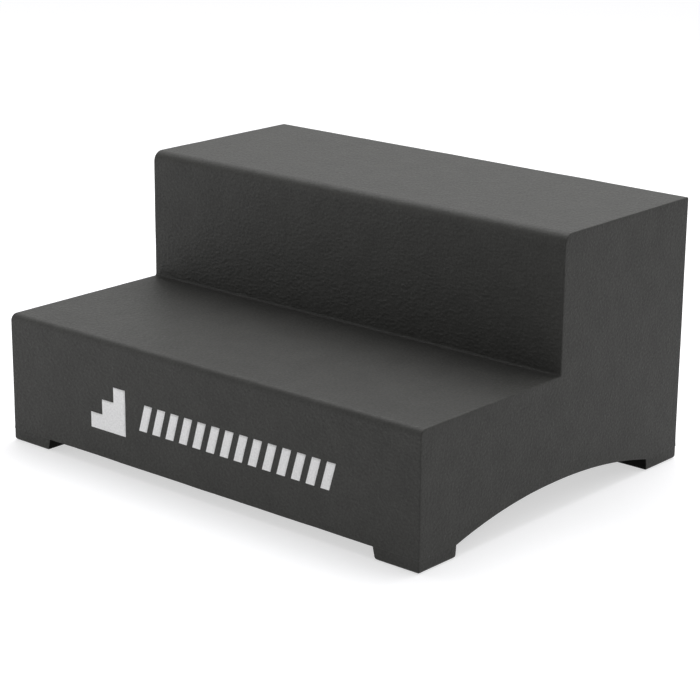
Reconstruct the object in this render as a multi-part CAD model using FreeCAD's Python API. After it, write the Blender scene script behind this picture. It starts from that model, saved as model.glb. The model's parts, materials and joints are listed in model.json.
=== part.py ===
import FreeCAD, Part
import math
import os

# Two-tier portable step: one foam block under a sprayed hard coat, standing on four corner
# pads. Millimetres. +X runs across the block's width, the climbing side faces -Y and +Z is
# up. The origin is the middle of the footprint, on the floor.

# ---- driving dimensions ----
WIDTH = 610.0
DEPTH = 466.0
HEIGHT = 307.5
LOWER_TIER_HEIGHT = 153.0
UPPER_TIER_DEPTH = DEPTH / 2

COAT_THICKNESS = 1.5
LOWER_NOSING_RADIUS = 8.5   # front top edge of the lower tier, outside the coat
UPPER_NOSING_RADIUS = 12.5  # the same edge of the upper tier
REAR_EDGE_RADIUS = 2.0      # rear top edge, outside the coat
WRAP_RADIUS = 1.2           # where the coat wraps round to the sides
COAT_CORNER_RADIUS = 2.6    # coat gathered in the corner of tread and riser
CORE_CORNER_RADIUS = 1.0    # the same corner in the foam

FOOT_HEIGHT = 14.3
FOOT_WIDTH = 61.5           # along X, where the pad meets the block
FOOT_DEPTH = 60.7           # along Y, where the pad meets the block
FOOT_INSET = 0.6            # the pad stands this far inside the block's outer faces
FOOT_LEAN_X = 3.5           # how far the pad's inner sides lean in over its height
FOOT_LEAN_Y = 1.2
FOOT_CORNER_RADIUS = 1.5    # upright corners
FOOT_SOLE_RADIUS = 3.5      # between the pad's sides and its sole
SOLE_STEPS = 4              # flats that the sole's round is cut into

ARCH_RISE = 21.7            # from the pads' top to the crown of the arch

# Plain mark on the front face: a stair icon, then a row of leaning stripes.
MARK_THICKNESS = 0.25
MARK_LEFT = -172.0
ICON_STAIRS = 3
ICON_TREAD = 18.5
ICON_RISE = 18.0
ICON_BOTTOM = 47.0
STRIPE_COUNT = 14
STRIPE_PITCH = 20.6
STRIPE_WIDTH = 11.8
STRIPE_LEAN = 9.0           # how far a stripe's top stands to the right of its foot
STRIPE_BOTTOM = 60.0
STRIPE_HEIGHT = 31.0
STRIPE_GAP = 22.0           # clear space between the icon and the first stripe

# ---- places worked out from them ----
FRONT = -DEPTH / 2
REAR = DEPTH / 2
RISER = REAR - UPPER_TIER_DEPTH
ARCH_END = DEPTH / 2 - FOOT_DEPTH
ON_PLANE = 1e-3             # an edge this near a plane lies in it
EXPORT_FOLDER = "parts"


def profile_point(y, z):
    """A point of the side profile, which lies across X."""
    return FreeCAD.Vector(0, y, z)


def corner_arc(corner, towards_start, towards_end, radius):
    """Start, middle and end of the arc that rounds a square corner of an outline."""
    halfway = (towards_start + towards_end) * (radius * (1 - 0.5 ** 0.5))
    return (
        corner + towards_start * radius,
        corner + halfway,
        corner + towards_end * radius,
    )


def closed_outline(stretches):
    """A wire of straight runs between stretches: each one corner, or an arc's three points."""
    edges = []
    for stretch, following in zip(stretches, stretches[1:] + stretches[:1]):
        if len(stretch) > 1:
            edges.append(Part.Arc(*stretch).toShape())
        edges.append(Part.LineSegment(stretch[-1], following[0]).toShape())
    return Part.Wire(edges)


def block_profile(inset, corner_radius):
    """Closed side outline of the block above its pads, set in from the outside by inset."""
    up = FreeCAD.Vector(0, 0, 1)
    back = FreeCAD.Vector(0, 1, 0)
    base = FOOT_HEIGHT + inset
    lower_tread = LOWER_TIER_HEIGHT - inset
    upper_tread = HEIGHT - inset
    front = FRONT + inset
    riser = RISER + inset
    rear = REAR - inset
    lower_radius = LOWER_NOSING_RADIUS - inset
    upper_radius = UPPER_NOSING_RADIUS - inset
    rear_radius = REAR_EDGE_RADIUS - inset

    arch = (
        profile_point(-ARCH_END, base),
        profile_point(0, base + ARCH_RISE),
        profile_point(ARCH_END, base),
    )
    rear_edge = corner_arc(profile_point(rear, upper_tread), -up, -back, rear_radius)
    upper_nosing = corner_arc(profile_point(riser, upper_tread), back, -up, upper_radius)
    inner_corner = corner_arc(profile_point(riser, lower_tread), up, -back, corner_radius)
    lower_nosing = corner_arc(profile_point(front, lower_tread), back, -up, lower_radius)
    stretches = (
        (profile_point(front, base),),
        arch,
        (profile_point(rear, base),),
        rear_edge,
        upper_nosing,
        inner_corner,
        lower_nosing,
    )
    return closed_outline(stretches)


def extruded_block(inset, corner_radius):
    """The block's side outline carried across its width, set in from the outside by inset."""
    width = WIDTH - 2 * inset
    face = Part.Face(block_profile(inset, corner_radius))
    face.translate(FreeCAD.Vector(-width / 2, 0, 0))
    return face.extrude(FreeCAD.Vector(width, 0, 0))


def foam_core():
    """The foam block that carries the load, one coat's thickness inside the outer faces."""
    return extruded_block(COAT_THICKNESS, CORE_CORNER_RADIUS)


def hard_coat():
    """The sprayed shell: the outer block with its side edges wrapped, hollow for the foam."""
    outer = extruded_block(0.0, COAT_CORNER_RADIUS)
    wrapped = [
        edge
        for edge in outer.Edges
        if edge.BoundBox.XLength < ON_PLANE and edge.BoundBox.ZMax > FOOT_HEIGHT + ARCH_RISE + ON_PLANE
    ]
    return outer.makeFillet(WRAP_RADIUS, wrapped).cut(foam_core())


def rounded_outline(low_x, high_x, low_y, high_y, z):
    """A level rectangle with rounded corners, as a closed wire."""
    ahead = FreeCAD.Vector(1, 0, 0)
    back = FreeCAD.Vector(0, 1, 0)
    corners = (
        corner_arc(FreeCAD.Vector(low_x, low_y, z), back, ahead, FOOT_CORNER_RADIUS),
        corner_arc(FreeCAD.Vector(high_x, low_y, z), -ahead, back, FOOT_CORNER_RADIUS),
        corner_arc(FreeCAD.Vector(high_x, high_y, z), -back, -ahead, FOOT_CORNER_RADIUS),
        corner_arc(FreeCAD.Vector(low_x, high_y, z), ahead, -back, FOOT_CORNER_RADIUS),
    )
    return closed_outline(corners)


def rear_right_foot():
    """The pad under the rear right corner: inner sides that lean in, and a rounded sole."""
    outer_x = WIDTH / 2 - FOOT_INSET
    outer_y = DEPTH / 2 - FOOT_INSET
    levels = []
    for step in range(SOLE_STEPS + 1):
        turn = math.radians(90 * step / SOLE_STEPS)
        height = FOOT_SOLE_RADIUS * (1 - math.cos(turn))
        levels.append((height, FOOT_SOLE_RADIUS * (1 - math.sin(turn))))
    levels.append((FOOT_HEIGHT, 0.0))
    outlines = []
    for height, tuck in levels:
        lean = 1 - height / FOOT_HEIGHT
        inner_x = WIDTH / 2 - FOOT_WIDTH + FOOT_LEAN_X * lean
        inner_y = DEPTH / 2 - FOOT_DEPTH + FOOT_LEAN_Y * lean
        outlines.append(
            rounded_outline(inner_x + tuck, outer_x - tuck, inner_y + tuck, outer_y - tuck, height)
        )
    return Part.makeLoft(outlines, True, True)


def four_feet():
    """Each corner's pad by name, mirrored from the one at the rear right."""
    middle = FreeCAD.Vector(0, 0, 0)
    across = FreeCAD.Vector(1, 0, 0)
    along = FreeCAD.Vector(0, 1, 0)
    rear_right = rear_right_foot()
    front_right = rear_right.mirror(middle, along)
    return {
        "foot_rear_right": rear_right,
        "foot_rear_left": rear_right.mirror(middle, across),
        "foot_front_right": front_right,
        "foot_front_left": front_right.mirror(middle, across),
    }


def mark_plate(outline):
    """A thin plate on the front face from its outline as (x, z) pairs."""
    corners = [FreeCAD.Vector(x, FRONT, z) for x, z in outline]
    face = Part.Face(Part.makePolygon(corners + corners[:1]))
    return face.extrude(FreeCAD.Vector(0, -MARK_THICKNESS, 0))


def front_mark():
    """The plain front mark: a stair icon that climbs to the right, and leaning stripes."""
    icon = [(MARK_LEFT, ICON_BOTTOM)]
    for stair in range(ICON_STAIRS):
        x = MARK_LEFT + stair * ICON_TREAD
        z = ICON_BOTTOM + (stair + 1) * ICON_RISE
        icon += [(x, z), (x + ICON_TREAD, z)]
    icon.append((MARK_LEFT + ICON_STAIRS * ICON_TREAD, ICON_BOTTOM))
    plates = [mark_plate(icon)]
    first_stripe = MARK_LEFT + ICON_STAIRS * ICON_TREAD + STRIPE_GAP
    stripe_top = STRIPE_BOTTOM + STRIPE_HEIGHT
    for number in range(STRIPE_COUNT):
        left = first_stripe + number * STRIPE_PITCH
        stripe = (
            (left, STRIPE_BOTTOM),
            (left + STRIPE_LEAN, stripe_top),
            (left + STRIPE_LEAN + STRIPE_WIDTH, stripe_top),
            (left + STRIPE_WIDTH, STRIPE_BOTTOM),
        )
        plates.append(mark_plate(stripe))
    return Part.makeCompound(plates)


def main():
    nodes = {"foam_core": foam_core(), "hard_coat": hard_coat(), "front_mark": front_mark()}
    nodes.update(four_feet())
    os.makedirs(EXPORT_FOLDER, exist_ok=True)
    for name, shape in nodes.items():
        shape.exportStep(os.path.join(EXPORT_FOLDER, f"{name}.step"))
        print(name, len(shape.Solids), "solids", round(shape.Volume), "mm3, valid:", shape.isValid())


main()
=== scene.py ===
import json
import math

import bmesh
import bpy
import numpy as np
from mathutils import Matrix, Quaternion, Vector, geometry, noise


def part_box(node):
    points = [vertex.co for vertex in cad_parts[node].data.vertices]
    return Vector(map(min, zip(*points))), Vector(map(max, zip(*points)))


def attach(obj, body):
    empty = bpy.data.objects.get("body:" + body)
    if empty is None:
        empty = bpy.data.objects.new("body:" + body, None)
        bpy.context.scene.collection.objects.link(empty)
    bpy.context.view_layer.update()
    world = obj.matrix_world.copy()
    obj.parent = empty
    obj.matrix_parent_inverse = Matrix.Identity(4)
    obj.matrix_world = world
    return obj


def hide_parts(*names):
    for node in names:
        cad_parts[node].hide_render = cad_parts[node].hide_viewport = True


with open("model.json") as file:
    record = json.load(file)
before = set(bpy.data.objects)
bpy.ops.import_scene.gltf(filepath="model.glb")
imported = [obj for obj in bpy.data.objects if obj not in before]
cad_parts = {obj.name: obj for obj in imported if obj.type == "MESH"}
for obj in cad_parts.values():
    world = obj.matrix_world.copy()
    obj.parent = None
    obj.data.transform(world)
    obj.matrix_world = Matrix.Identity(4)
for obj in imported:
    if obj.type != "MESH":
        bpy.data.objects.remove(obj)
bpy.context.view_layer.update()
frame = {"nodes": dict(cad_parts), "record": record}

# Looks for the two-tier step block. Metres, in the CAD frame: +X across the width, the
# climbing side faces -Y, +Z up, and the floor is at zero.

MM = 0.001
BODY = "root"

# ---- sizes, from the frame where it holds them ----
COAT_LOW, COAT_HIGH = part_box("hard_coat")
MOUNTS = {mount["name"]: mount for mount in frame["record"]["mounts"]}
HALF_WIDTH = COAT_HIGH.x
FRONT = COAT_LOW.y
REAR = COAT_HIGH.y
BASE = COAT_LOW.z                                # underside of the block, on its pads
TOP = COAT_HIGH.z
LOWER_TREAD = MOUNTS["lower_tread"]["pos_m"][2]
RISER = (FRONT + REAR) / 2                       # the upper tier is half the depth
PAD_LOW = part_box("foot_rear_right")[0]
ARCH_END = PAD_LOW.y

LOWER_NOSING_RADIUS = 8.5 * MM
UPPER_NOSING_RADIUS = 12.5 * MM
REAR_EDGE_RADIUS = 2.0 * MM
WRAP_RADIUS = 1.2 * MM
BASE_WRAP_RADIUS = 0.3 * MM
WRAP_TAPER = 4.0 * MM      # the side edges sharpen over this height above the base
CORNER_RADIUS = 2.6 * MM
ARCH_RISE = 21.7 * MM

# ---- how finely the coat is meshed ----
FINE = 3.3 * MM           # the front, the treads and the riser
COARSE = 6.0 * MM         # the rear and the underside
NOSING_STEP = 1.6 * MM
EDGE_STEP = 0.6 * MM      # round the rear edge and the inner corner
LEAST_ARC_STEPS = 4
SIDE_GRID = 3.7 * MM
SUPPORT = 0.7 * MM        # a row this far from each rounded edge keeps the flats flat
WRAP_STEPS = 4

# ---- how a flat face is filled with triangles ----
ROW_SPACING = 0.87        # rows of a triangular grid, as a share of the spacing along them
RIM_CLEARANCE = 0.6       # inner points stay this share of the spacing away from the rim
WELD = 1e-7
LEVEL = 1e-12             # an edge that rises less than this counts as level

# ---- the coat's uneven surface ----
BROAD_SIZE = 0.055
BROAD_HEIGHT = 0.22 * MM
MIDDLING_SIZE = 0.019
MIDDLING_HEIGHT = 0.09 * MM
MIDDLING_SHIFT = Vector((7.3, 1.9, 4.4))   # keeps the two patterns apart

# ---- the pads and the mark ----
PAD_LEAN = np.array([3.5, 1.2]) * MM       # how far the inner sides lean in by the sole
PAD_INSET = Vector((0.15, 0.15)) * MM      # the outer sides are all but flush with the coat
PAD_OUTER = Vector((HALF_WIDTH, REAR)) - PAD_INSET
PAD_CORNER = 1.0 * MM
PAD_CORNER_STEP = 0.5 * MM
PAD_SOLE = 3.5 * MM
SOLE_STEPS = 6
PAD_SINK = 2.0 * MM       # the pad's top reaches this far into the coat
PAD_GRID = 2.6 * MM
PAD_ROWS = 6
MARK_SINK = 0.5 * MM      # the mark's back reaches this far into the coat
MARK_GRID = 3.0 * MM
MARK_WELD = 0.01 * MM
FACING = 0.9              # a face whose normal is this near an axis looks along it


# ---- the coat's surface relief ----
def relief(point):
    """How far the sprayed coat stands proud of its nominal surface at a point, in metres."""
    broad = noise.noise(point / BROAD_SIZE)
    middling = noise.noise(point / MIDDLING_SIZE + MIDDLING_SHIFT)
    return BROAD_HEIGHT * broad + MIDDLING_HEIGHT * middling


def add_relief(points, normals):
    """Points moved along their normals by the coat's relief."""
    lift = np.array([relief(Vector(point)) for point in points])
    return points + normals * lift[:, None]


# ---- outlines in the side plane, as (y, z) points with outward normals ----
def arc(centre, radius, start, end, spacing):
    """Points round an arc, in degrees; one that runs clockwise has its centre outside."""
    length = radius * math.radians(abs(end - start))
    count = max(LEAST_ARC_STEPS, round(length / spacing))
    turns = np.radians(np.linspace(start, end, count + 1))
    rays = np.stack([np.cos(turns), np.sin(turns)], axis=1)
    outward = 1.0 if end > start else -1.0
    return np.array(centre) + radius * rays, outward * rays


def square_corner(point, mitre):
    """A square corner; its mitre is as long as it takes to move both sides out by one."""
    return np.array([point]), np.array([mitre], dtype=float)


def run(start, end, spacing):
    """Points along a straight run, without its ends, and with a support row near each."""
    along = end - start
    length = float(np.hypot(*along))
    along = along / length
    count = max(1, round((length - 2 * SUPPORT) / spacing))
    stations = np.linspace(SUPPORT, length - SUPPORT, count + 1)
    points = start + stations[:, None] * along
    return points, np.tile([along[1], -along[0]], (len(points), 1))


def outline(bends):
    """A closed outline from bends in order, each with the spacing of the run after it."""
    points, normals = [], []
    for (bend, spacing), (following, _) in zip(bends, bends[1:] + bends[:1]):
        flat_points, flat_normals = run(bend[0][-1], following[0][0], spacing)
        points += [bend[0], flat_points]
        normals += [bend[1], flat_normals]
    return np.concatenate(points), np.concatenate(normals)


def block_outline():
    """The block's side outline above its pads, anticlockwise from the front bottom edge."""
    arch_radius = (ARCH_END ** 2 + ARCH_RISE ** 2) / (2 * ARCH_RISE)
    arch_half = math.degrees(math.asin(ARCH_END / arch_radius))
    arch_centre = (0.0, BASE + ARCH_RISE - arch_radius)
    rear, fillet = REAR_EDGE_RADIUS, CORNER_RADIUS
    lower, upper = LOWER_NOSING_RADIUS, UPPER_NOSING_RADIUS
    return outline([
        (square_corner((FRONT, BASE), (-1, -1)), COARSE),
        (arc(arch_centre, arch_radius, 90 + arch_half, 90 - arch_half, COARSE), COARSE),
        (square_corner((REAR, BASE), (1, -1)), COARSE),
        (arc((REAR - rear, TOP - rear), rear, 0, 90, EDGE_STEP), FINE),
        (arc((RISER + upper, TOP - upper), upper, 90, 180, NOSING_STEP), FINE),
        (arc((RISER - fillet, LOWER_TREAD + fillet), fillet, 0, -90, EDGE_STEP), FINE),
        (arc((FRONT + lower, LOWER_TREAD - lower), lower, 90, 180, NOSING_STEP), FINE),
    ])


# ---- meshes ----
def inside(points, loop):
    """Which points lie inside a closed loop, by the even-odd rule."""
    following = np.roll(loop, -1, axis=0)
    y, z = points[:, :1], points[:, 1:]
    crosses = (loop[:, 1] > z) != (following[:, 1] > z)
    rise = following[:, 1] - loop[:, 1]
    rise = np.where(np.abs(rise) < LEVEL, LEVEL, rise)
    reach = loop[:, 0] + (z - loop[:, 1]) / rise * (following[:, 0] - loop[:, 0])
    return (crosses & (y < reach)).sum(axis=1) % 2 == 1


def filled(loop, spacing):
    """Inner points and triangles that fill a flat loop; the loop's own points come first."""
    low, high = loop.min(axis=0), loop.max(axis=0)
    columns = np.arange(low[0] + spacing / 2, high[0], spacing)
    rows = np.arange(low[1] + spacing / 2, high[1], spacing * ROW_SPACING)
    grid = np.stack(np.meshgrid(columns, rows), axis=-1)
    grid[1::2, :, 0] += spacing / 2
    grid = grid.reshape(-1, 2)
    grid = grid[inside(grid, loop)]
    clearance = RIM_CLEARANCE * spacing
    clear = np.array([np.hypot(*(loop - point).T).min() > clearance for point in grid])
    inner = grid[clear]
    count = len(loop)
    vertices = [Vector(point) for point in np.concatenate([loop, inner])]
    edges = [(i, (i + 1) % count) for i in range(count)]
    found = geometry.delaunay_2d_cdt(vertices, edges, [], 1, WELD)
    assert len(found[0]) == len(vertices)
    return inner, [tuple(face) for face in found[2]]


def bands(count, rings):
    """Quads between consecutive rings of count points each."""
    return [
        [near + i, near + (i + 1) % count, near + count + (i + 1) % count, near + count + i]
        for near in range(0, (rings - 1) * count, count)
        for i in range(count)
    ]


def cap(triangles, count, rim, grid, reverse):
    """A fill's triangles, renumbered for where its rim and its inner points were put."""
    turned = []
    for triangle in triangles:
        corners = [rim + i if i < count else grid + i - count for i in triangle]
        turned.append(corners[::-1] if reverse else corners)
    return turned


def mesh_object(name, points, faces, material):
    """A smooth-shaded mesh piece that rides on the block."""
    mesh = bpy.data.meshes.new(name)
    mesh.from_pydata([tuple(point) for point in points], [], faces)
    mesh.validate()
    mesh.polygons.foreach_set("use_smooth", [True] * len(mesh.polygons))
    mesh.materials.append(material)
    piece = bpy.data.objects.new(name, mesh)
    bpy.context.scene.collection.objects.link(piece)
    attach(piece, BODY)
    return piece


def side_wrap(profile, outward):
    """The radius at which each point of the outline turns onto the sides."""
    taper = np.clip((profile[:, 1] - BASE) / WRAP_TAPER, 0, 1)
    taper[outward[:, 1] < -FACING] = 0
    return BASE_WRAP_RADIUS + (WRAP_RADIUS - BASE_WRAP_RADIUS) * taper


def coat_piece():
    """The coat's outer skin: the outline carried across the width, wrapped onto both sides."""
    profile, outward = block_outline()
    wrap = side_wrap(profile, outward)
    reach = HALF_WIDTH - WRAP_RADIUS - SUPPORT
    columns = round(2 * reach / FINE)
    stations = [(np.full(len(profile), x), 0.0) for x in np.linspace(-reach, reach, columns + 1)]
    for turn in np.radians(np.linspace(0, 90, WRAP_STEPS + 1)):
        edge = HALF_WIDTH - wrap * (1 - math.sin(turn))
        stations.append((edge, turn))
        stations.insert(0, (-edge, -turn))
    points, normals = [], []
    for across, turn in stations:
        ring = profile - wrap[:, None] * (1 - math.cos(turn)) * outward
        points.append(np.column_stack([across, ring]))
        sideways = np.full(len(ring), math.sin(turn))
        normals.append(np.column_stack([sideways, math.cos(turn) * outward]))

    count = len(profile)
    last = (len(stations) - 1) * count
    faces = bands(count, len(stations))
    inner, triangles = filled(profile - wrap[:, None] * outward, SIDE_GRID)
    for side, rim in ((-1, 0), (1, last)):
        grid = sum(len(group) for group in points)
        points.append(np.column_stack([np.full(len(inner), side * HALF_WIDTH), inner]))
        normals.append(np.tile([float(side), 0.0, 0.0], (len(inner), 1)))
        faces += cap(triangles, count, rim, grid, side < 0)

    placed = add_relief(np.concatenate(points), np.concatenate(normals))
    coat = mesh_object("hard_coat_skin", placed, faces, hard_coat_material())
    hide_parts("hard_coat")


def pad_outline():
    """The rear right pad from above, anticlockwise, as (x, y) points and outward normals."""
    inset = Vector((PAD_CORNER, PAD_CORNER))
    low, high = PAD_LOW.xy + inset, PAD_OUTER - inset
    corners = [
        arc(low, PAD_CORNER, 180, 270, PAD_CORNER_STEP),
        arc((high.x, low.y), PAD_CORNER, 270, 360, PAD_CORNER_STEP),
        arc(high, PAD_CORNER, 0, 90, PAD_CORNER_STEP),
        arc((low.x, high.y), PAD_CORNER, 90, 180, PAD_CORNER_STEP),
    ]
    return outline([(bend, PAD_GRID) for bend in corners])


def pad_shape():
    """Points, normals and faces of the rear right pad; its top reaches into the coat."""
    loop, outward = pad_outline()
    low, high = np.array(PAD_LOW.xy), np.array(PAD_OUTER)
    shares = (loop - low) / (high - low)
    turns = np.radians(np.linspace(0, 90, SOLE_STEPS + 1))
    levels = [(PAD_SOLE * (1 - math.cos(turn)), math.sin(turn)) for turn in turns]
    levels += [(z, 1.0) for z in np.linspace(PAD_SOLE, BASE + PAD_SINK, PAD_ROWS)[1:]]
    points, normals = [], []
    for height, upright in levels:
        tuck = PAD_SOLE * (1 - upright)
        near = low + PAD_LEAN * max(0.0, 1 - height / BASE) + tuck
        ring = near + shares * (high - tuck - near)
        points.append(np.column_stack([ring, np.full(len(ring), height)]))
        normals.append(np.column_stack([upright * outward, np.zeros(len(ring))]))

    count = len(points[0])
    last = (len(levels) - 1) * count
    faces = bands(count, len(levels))
    for rim, is_sole in ((0, True), (last, False)):
        inner, triangles = filled(points[rim // count][:, :2], PAD_GRID)
        grid = sum(len(group) for group in points)
        height = levels[rim // count][0]
        points.append(np.column_stack([inner, np.full(len(inner), height)]))
        normals.append(np.zeros((len(inner), 3)))
        faces += cap(triangles, count, rim, grid, is_sole)
    return np.concatenate(points), np.concatenate(normals), faces


def pad_pieces():
    """The four corner pads, each mirrored from the one at the rear right."""
    points, normals, faces = pad_shape()
    material = pad_material()
    for end, back in (("front", -1), ("rear", 1)):
        for side, right in (("left", -1), ("right", 1)):
            flip = np.array([right, back, 1])
            turned = faces if right * back > 0 else [face[::-1] for face in faces]
            placed = add_relief(points * flip, normals * flip)
            pad = mesh_object(f"pad_{end}_{side}", placed, turned, material)
            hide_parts(f"foot_{end}_{side}")


# ---- the front mark ----
def plate_outlines():
    """The outline of each plate of the CAD mark as an (x, z) loop, seen from the front."""
    plates = bmesh.new()
    plates.from_mesh(frame["nodes"]["front_mark"].data)
    bmesh.ops.remove_doubles(plates, verts=plates.verts, dist=MARK_WELD)
    following = {}
    for face in plates.faces:
        if face.normal.y < -FACING:
            for loop in face.loops:
                around = [other for other in loop.edge.link_faces if other.normal.y < -FACING]
                if len(around) == 1:
                    following[tuple(loop.vert.co.xz)] = tuple(loop.link_loop_next.vert.co.xz)
    plates.free()
    outlines = []
    while following:
        at = next(iter(following))
        corners = []
        while at in following:
            corners.append(at)
            at = following.pop(at)
        outlines.append(np.array(corners))
    return outlines


def divided(loop, spacing):
    """A loop of corners with points added along its sides."""
    points = []
    for start, end in zip(loop, np.roll(loop, -1, axis=0)):
        count = max(1, round(float(np.hypot(*(end - start))) / spacing))
        shares = np.arange(count)[:, None] / count
        points.append(start + shares * (end - start))
    return np.concatenate(points)


def mark_piece():
    """The painted mark: thin closed plates that follow the coat's relief."""
    proud = COAT_LOW.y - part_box("front_mark")[0].y
    points, faces = [], []
    for corners in plate_outlines():
        loop = divided(corners, MARK_GRID)
        inner, triangles = filled(loop, MARK_GRID)
        count = len(loop)
        flat = np.concatenate([loop, loop, inner, inner])
        depths = [MARK_SINK, -proud, MARK_SINK, -proud]
        depth = np.repeat(depths, [count, count, len(inner), len(inner)])
        first = sum(len(group) for group in points)
        points.append(np.column_stack([flat[:, 0], FRONT + depth, flat[:, 1]]))
        sides = bands(count, 2)
        back = cap(triangles, count, 0, 2 * count, True)
        front = cap(triangles, count, count, 2 * count + len(inner), False)
        faces += [[first + i for i in face] for face in sides + front + back]
    points = np.concatenate(points)
    on_coat = points * [1, 0, 1] + [0, FRONT, 0]
    lift = np.array([relief(Vector(point)) for point in on_coat])
    points[:, 1] -= lift
    mark = mesh_object("front_mark_paint", points, faces, mark_material())
    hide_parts("front_mark")


# ---- material building blocks ----
INWARD_FADE = (-0.9, -0.6)         # how far a face looks inwards, from wholly to not at all


def new_material(name):
    """A node material, its tree, its shader and the object's own coordinates."""
    material = bpy.data.materials.new(name)
    material.use_nodes = True
    tree = material.node_tree
    shader = tree.nodes["Principled BSDF"]
    place = tree.nodes.new("ShaderNodeTexCoord").outputs["Object"]
    return material, tree, shader, place


def stretched(tree, place, stretch):
    """Coordinates scaled along each axis, so that a pattern is longer where they shrink."""
    mapping = tree.nodes.new("ShaderNodeMapping")
    mapping.inputs["Scale"].default_value = stretch
    tree.links.new(place, mapping.inputs["Vector"])
    return mapping.outputs["Vector"]


def clouds(tree, place, size, detail=2.0, distortion=0.0):
    """Noise of about 0 to 1 whose patches are about size across."""
    texture = tree.nodes.new("ShaderNodeTexNoise")
    texture.inputs["Scale"].default_value = 1 / size
    texture.inputs["Detail"].default_value = detail
    texture.inputs["Distortion"].default_value = distortion
    tree.links.new(place, texture.inputs["Vector"])
    return texture.outputs["Fac"]


def cells(tree, place, size, smoothness):
    """Distance from the middle of cells about size across; smoothness rounds them."""
    texture = tree.nodes.new("ShaderNodeTexVoronoi")
    texture.feature = "SMOOTH_F1"
    texture.inputs["Scale"].default_value = 1 / size
    texture.inputs["Smoothness"].default_value = smoothness
    tree.links.new(place, texture.inputs["Vector"])
    return texture.outputs["Distance"]


def ranged(tree, value, low, high, start=0.3, end=0.7):
    """A value spread linearly from start..end onto low..high, and held there beyond it."""
    spread = tree.nodes.new("ShaderNodeMapRange")
    for name, number in (("From Min", start), ("From Max", end), ("To Min", low), ("To Max", high)):
        spread.inputs[name].default_value = number
    tree.links.new(value, spread.inputs["Value"])
    return spread.outputs["Result"]


def tinted(tree, value, first, last, start=0.3, end=0.7):
    """A colour that runs from first to last as the value runs from start to end."""
    ramp = tree.nodes.new("ShaderNodeValToRGB")
    ramp.color_ramp.elements[0].position = start
    ramp.color_ramp.elements[0].color = (*first, 1)
    ramp.color_ramp.elements[1].position = end
    ramp.color_ramp.elements[1].color = (*last, 1)
    tree.links.new(value, ramp.inputs["Fac"])
    return ramp.outputs["Color"]


def shaded(tree, value, levels, start=0.3, end=0.7):
    """A grey that runs from the first level to the second as the value runs from start to end."""
    first, last = ((level, level, level) for level in levels)
    return tinted(tree, value, first, last, start, end)


def blended(tree, colour, other, how):
    """Two colours multiplied or added."""
    mix = tree.nodes.new("ShaderNodeMix")
    mix.data_type = "RGBA"
    mix.blend_type = how
    mix.inputs["Factor"].default_value = 1.0
    tree.links.new(colour, mix.inputs["A"])
    tree.links.new(other, mix.inputs["B"])
    return mix.outputs["Result"]


def facing(tree, axis):
    """How far the surface faces along an axis: 1 straight along it, -1 straight against it."""
    normal = tree.nodes.new("ShaderNodeTexCoord").outputs["Normal"]
    parts = tree.nodes.new("ShaderNodeSeparateXYZ")
    tree.links.new(normal, parts.inputs["Vector"])
    return parts.outputs[axis]


def product(tree, value, other):
    """Two values multiplied."""
    times = tree.nodes.new("ShaderNodeMath")
    times.operation = "MULTIPLY"
    tree.links.new(value, times.inputs[0])
    tree.links.new(other, times.inputs[1])
    return times.outputs["Value"]


def inward(tree, place):
    """1 on upright faces that look towards the block's middle, 0 on the others."""
    side = tree.nodes.new("ShaderNodeVectorMath")
    side.operation = "SIGN"
    tree.links.new(place, side.inputs[0])
    away = tree.nodes.new("ShaderNodeVectorMath")
    away.operation = "MULTIPLY"
    tree.links.new(side.outputs["Vector"], away.inputs[0])
    tree.links.new(tree.nodes.new("ShaderNodeTexCoord").outputs["Normal"], away.inputs[1])
    parts = tree.nodes.new("ShaderNodeSeparateXYZ")
    tree.links.new(away.outputs["Vector"], parts.inputs["Vector"])
    least = tree.nodes.new("ShaderNodeMath")
    least.operation = "MINIMUM"
    tree.links.new(parts.outputs["X"], least.inputs[0])
    tree.links.new(parts.outputs["Y"], least.inputs[1])
    return ranged(tree, least.outputs["Value"], 1.0, 0.0, *INWARD_FADE)


def bumped(tree, height, depth, under=None):
    """A normal for a height of 0 to 1, laid over another; depth is a number or a socket."""
    bump = tree.nodes.new("ShaderNodeBump")
    bump.inputs["Strength"].default_value = 1.0
    if isinstance(depth, float):
        bump.inputs["Distance"].default_value = depth
    else:
        tree.links.new(depth, bump.inputs["Distance"])
    tree.links.new(height, bump.inputs["Height"])
    if under is not None:
        tree.links.new(under, bump.inputs["Normal"])
    return bump.outputs["Normal"]


# ---- materials ----
COAT_DARK = (0.0256, 0.0255, 0.0234)
COAT_LIGHT = (0.0316, 0.0315, 0.0290)
COAT_ROUGHNESS = (0.65, 0.55)
COAT_IOR = 1.33
MOTTLE_SIZE = 28 * MM
SPECKLE_SIZE = 2.4 * MM
SPECKLE_TINTS = (0.80, 1.16)
SPRAY_STRETCH = (0.65, 0.9, 1.0)   # the puffs and ripples run longer across the block
PUFF_SIZE = 3.8 * MM
PUFF_EDGE = (0.1, 0.6)             # where a puff starts to fall and where it ends
RIPPLE_SIZE = 3.0 * MM
GRAIN_SIZE = 1.5 * MM
GRAIN_DEPTH = 0.08 * MM

# depths on faces that look forward, then on the others, and the facings between the two
RIPPLE_DEPTHS = (0.40 * MM, 0.32 * MM)
PUFF_DEPTHS = (0.27 * MM, 0.16 * MM)
FORWARD_FADE = (-0.9, -0.3)
NOSING_SHARE = 0.25                # how much of those depths is left on the nosings
NOSING_FADE = (-0.35, -0.08)

DUST = 0.009
DUST_FADE = (0.2, 0.95)            # from faces that are nearly upright to level ones
# painted shade: the pads' inner sides, in the shadow under the block, get a darker base colour and
# less specular
PAD_PAINTED_SHADE_GREYS = (0.95, 0.12)          # the pads' outer sides, then their inner sides, darkened as painted shade
PAD_PAINTED_SHADE_SPECULAR = (0.5, 0.08)

MARK_GREYS = (0.63, 0.77)
MARK_ROUGHNESS = (0.62, 0.5)
COVERAGE_SIZE = 2.2 * MM
MARK_GRAIN_SIZE = 1.6 * MM

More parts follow.
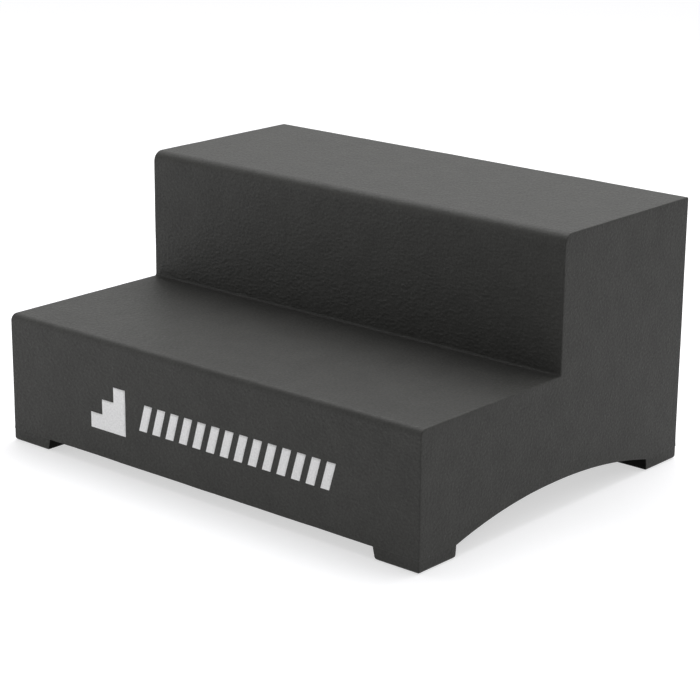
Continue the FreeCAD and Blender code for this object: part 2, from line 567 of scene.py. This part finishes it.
BEAD_MIDDLE = (0.82, 0.82, 0.80)
BEAD_EDGE = (0.66, 0.66, 0.63)
BEAD_SIZE = 4.5 * MM
BEAD_DEPTH = 0.6 * MM
PORE_SIZE = 1.2 * MM
FOAM_ROUGHNESS = (0.75, 0.9)


def coat_texture(tree, place):
    """Height of the coat's puffs, 0 in the creases to 1 on top, and of the ripples over them."""
    wider = stretched(tree, place, SPRAY_STRETCH)
    domes = cells(tree, wider, PUFF_SIZE, smoothness=0.5)
    puffs = ranged(tree, domes, 1.0, 0.0, *PUFF_EDGE)
    ripples = clouds(tree, wider, RIPPLE_SIZE, detail=1.0, distortion=0.4)
    return puffs, ripples


def coat_depths(tree):
    """Depths of ripples and puffs: deepest on faces that look forward, shallow on nosings."""
    back = facing(tree, "Y")
    slope = product(tree, back, facing(tree, "Z"))
    share = ranged(tree, slope, NOSING_SHARE, 1.0, *NOSING_FADE)
    ripple_depth = product(tree, share, ranged(tree, back, *RIPPLE_DEPTHS, *FORWARD_FADE))
    puff_depth = product(tree, share, ranged(tree, back, *PUFF_DEPTHS, *FORWARD_FADE))
    return ripple_depth, puff_depth


def coat_look(tree, shader, place):
    """The coating's roughness and bumps, set on the shader; returns its mottled colour."""
    mottle = tinted(tree, clouds(tree, place, MOTTLE_SIZE, detail=4.0), COAT_DARK, COAT_LIGHT)
    speckle = clouds(tree, place, SPECKLE_SIZE, detail=3.0)
    tree.links.new(ranged(tree, speckle, *COAT_ROUGHNESS), shader.inputs["Roughness"])
    shader.inputs["IOR"].default_value = COAT_IOR

    puffs, ripples = coat_texture(tree, place)
    grain = clouds(tree, place, GRAIN_SIZE, detail=2.0)
    ripple_depth, puff_depth = coat_depths(tree)
    normal = bumped(tree, ripples, ripple_depth)
    normal = bumped(tree, puffs, puff_depth, normal)
    normal = bumped(tree, grain, GRAIN_DEPTH, normal)
    tree.links.new(normal, shader.inputs["Normal"])
    return blended(tree, mottle, shaded(tree, speckle, SPECKLE_TINTS), "MULTIPLY")


def hard_coat_material():
    """Sprayed charcoal coating with a little dust on its treads."""
    material, tree, shader, place = new_material("sprayed_hard_coat")
    colour = coat_look(tree, shader, place)
    dust = shaded(tree, facing(tree, "Z"), (0.0, DUST), *DUST_FADE)
    tree.links.new(blended(tree, colour, dust, "ADD"), shader.inputs["Base Color"])
    return material


def pad_material():
    """The same coating on the pads' outer sides; their inner sides are darkened in colour and
    specular as painted shade.
    """
    material, tree, shader, place = new_material("coated_pad")
    colour = coat_look(tree, shader, place)
    # painted shade: inner sides darkened in colour and specular, standing in for the shadow under
    # the block
    painted_shade_mask = inward(tree, place)
    shade = shaded(tree, painted_shade_mask, PAD_PAINTED_SHADE_GREYS)
    tree.links.new(blended(tree, colour, shade, "MULTIPLY"), shader.inputs["Base Color"])
    tree.links.new(ranged(tree, painted_shade_mask, *PAD_PAINTED_SHADE_SPECULAR), shader.inputs["Specular IOR Level"])
    return material


def mark_material():
    """Light grey paint with a fine grain, a little uneven in cover."""
    material, tree, shader, place = new_material("mark_paint")
    coverage = clouds(tree, place, COVERAGE_SIZE, detail=4.0)
    tree.links.new(shaded(tree, coverage, MARK_GREYS), shader.inputs["Base Color"])
    tree.links.new(ranged(tree, coverage, *MARK_ROUGHNESS), shader.inputs["Roughness"])
    grain = clouds(tree, place, MARK_GRAIN_SIZE, detail=2.0)
    tree.links.new(bumped(tree, grain, GRAIN_DEPTH), shader.inputs["Normal"])
    return material


def foam_material():
    """White expanded foam: beads pressed together, each a little different."""
    material, tree, shader, place = new_material("bead_foam")
    beads = cells(tree, place, BEAD_SIZE, smoothness=0.2)
    tint = tinted(tree, beads, BEAD_MIDDLE, BEAD_EDGE, 0.2, 0.8)
    tree.links.new(tint, shader.inputs["Base Color"])
    pores = clouds(tree, place, PORE_SIZE, detail=2.0)
    tree.links.new(ranged(tree, pores, *FOAM_ROUGHNESS), shader.inputs["Roughness"])
    tree.links.new(bumped(tree, beads, -BEAD_DEPTH), shader.inputs["Normal"])
    return material


def foam_core_finish():
    """The CAD core stays in the scene under the coat, and gets its own material."""
    core = frame["nodes"]["foam_core"]
    core.data.materials.clear()
    core.data.materials.append(foam_material())


# ---- floor, light and camera ----
FLOOR_REACH = 12.0
FLOOR_SIDES = 96
FLOOR_GLOW = 0.57
FLOOR_TINT = (0.57, 0.57, 0.585, 1)

# the walls' brightness, and over which part of each direction's range it changes
WALL_BEHIND = 0.86
WALL_AHEAD = 0.12          # on the climbing side
WALL_TURN = (-0.60, 0.60)
CEILING = 1.5              # how many times brighter the walls are higher up
CEILING_FADE = (0.32, 0.65)
HORIZON_FADE = (0.10, 0.22)

# name, place, width, height and power in watts
SOFTBOXES = (
    ("key_softbox", (-0.3, 0.58, 2.05), 2.1, 1.6, 39.0),
    ("left_fill", (-1.7, -1.2, 0.5), 1.2, 1.0, 8.5),
)
LIGHT_AIM = Vector((0, 0, 0.15))

# the camera as fitted to the photograph
CAMERA_AZIMUTH = math.radians(40.814)
CAMERA_ELEVATION = math.radians(17.044)
CAMERA_ROLL = math.radians(0.4454)
CAMERA_DISTANCE = 2.53637
CAMERA_AIM = Vector((0.01164, -0.00119, 0.12223))
LENS = 114.276             # millimetres, like the sensor
SENSOR = 36.0


def floor():
    """A plain pale floor that glows a little, like a lit studio sweep."""
    bpy.ops.mesh.primitive_circle_add(vertices=FLOOR_SIDES, radius=FLOOR_REACH, fill_type="NGON")
    sweep = bpy.context.object
    sweep.name = "studio_floor"
    material, tree, shader, _ = new_material("studio_floor")
    shader.inputs["Base Color"].default_value = FLOOR_TINT
    shader.inputs["Roughness"].default_value = 1.0
    shader.inputs["Specular IOR Level"].default_value = 0.0
    shader.inputs["Emission Color"].default_value = (1, 1, 1, 1)
    shader.inputs["Emission Strength"].default_value = FLOOR_GLOW
    sweep.data.materials.append(material)


def studio_walls():
    """Soft light all round: bright behind the block, dim ahead of it, white at the horizon."""
    world = bpy.data.worlds.new("studio_walls")
    bpy.context.scene.world = world
    world.use_nodes = True
    tree = world.node_tree
    direction = tree.nodes.new("ShaderNodeTexCoord").outputs["Generated"]
    parts = tree.nodes.new("ShaderNodeSeparateXYZ")
    tree.links.new(direction, parts.inputs["Vector"])
    behind = ranged(tree, parts.outputs["Y"], WALL_AHEAD, WALL_BEHIND, *WALL_TURN)
    higher = ranged(tree, parts.outputs["Z"], 1.0, CEILING, *CEILING_FADE)
    walls = product(tree, behind, higher)
    above = ranged(tree, parts.outputs["Z"], 0.0, 1.0, *HORIZON_FADE)
    mix = tree.nodes.new("ShaderNodeMix")
    mix.data_type = "RGBA"
    mix.inputs["A"].default_value = (1, 1, 1, 1)
    tree.links.new(above, mix.inputs["Factor"])
    tree.links.new(walls, mix.inputs["B"])
    tree.links.new(mix.outputs["Result"], tree.nodes["Background"].inputs["Color"])


def softbox(name, place, width, height, power):
    """A soft rectangular light that faces the block."""
    data = bpy.data.lights.new(name, "AREA")
    data.shape = "RECTANGLE"
    data.size = width
    data.size_y = height
    data.energy = power
    box = bpy.data.objects.new(name, data)
    box.location = place
    box.rotation_euler = (LIGHT_AIM - box.location).to_track_quat("-Z", "Y").to_euler()
    bpy.context.scene.collection.objects.link(box)


def studio_lights():
    """The key light hangs behind and above the block; a weak one fills in from the left."""
    for name, place, width, height, power in SOFTBOXES:
        softbox(name, place, width, height, power)


def camera():
    """The camera at the photograph's viewing angle, ahead and to the right of the block."""
    level = math.cos(CAMERA_ELEVATION)
    back = Vector((
        math.sin(CAMERA_AZIMUTH) * level,
        -math.cos(CAMERA_AZIMUTH) * level,
        math.sin(CAMERA_ELEVATION),
    ))
    data = bpy.data.cameras.new("camera")
    data.lens = LENS
    data.sensor_width = SENSOR
    data.clip_end = 2 * FLOOR_REACH
    eye = bpy.data.objects.new("camera", data)
    eye.location = CAMERA_AIM + back * CAMERA_DISTANCE
    eye.rotation_mode = "QUATERNION"
    turn = Quaternion((0, 0, 1), CAMERA_ROLL)
    eye.rotation_quaternion = (-back).to_track_quat("-Z", "Y") @ turn
    bpy.context.scene.collection.objects.link(eye)
    bpy.context.scene.camera = eye


camera()
floor()
studio_walls()
studio_lights()
coat_piece()
pad_pieces()
mark_piece()
foam_core_finish()
bpy.context.scene.view_settings.view_transform = "Standard"
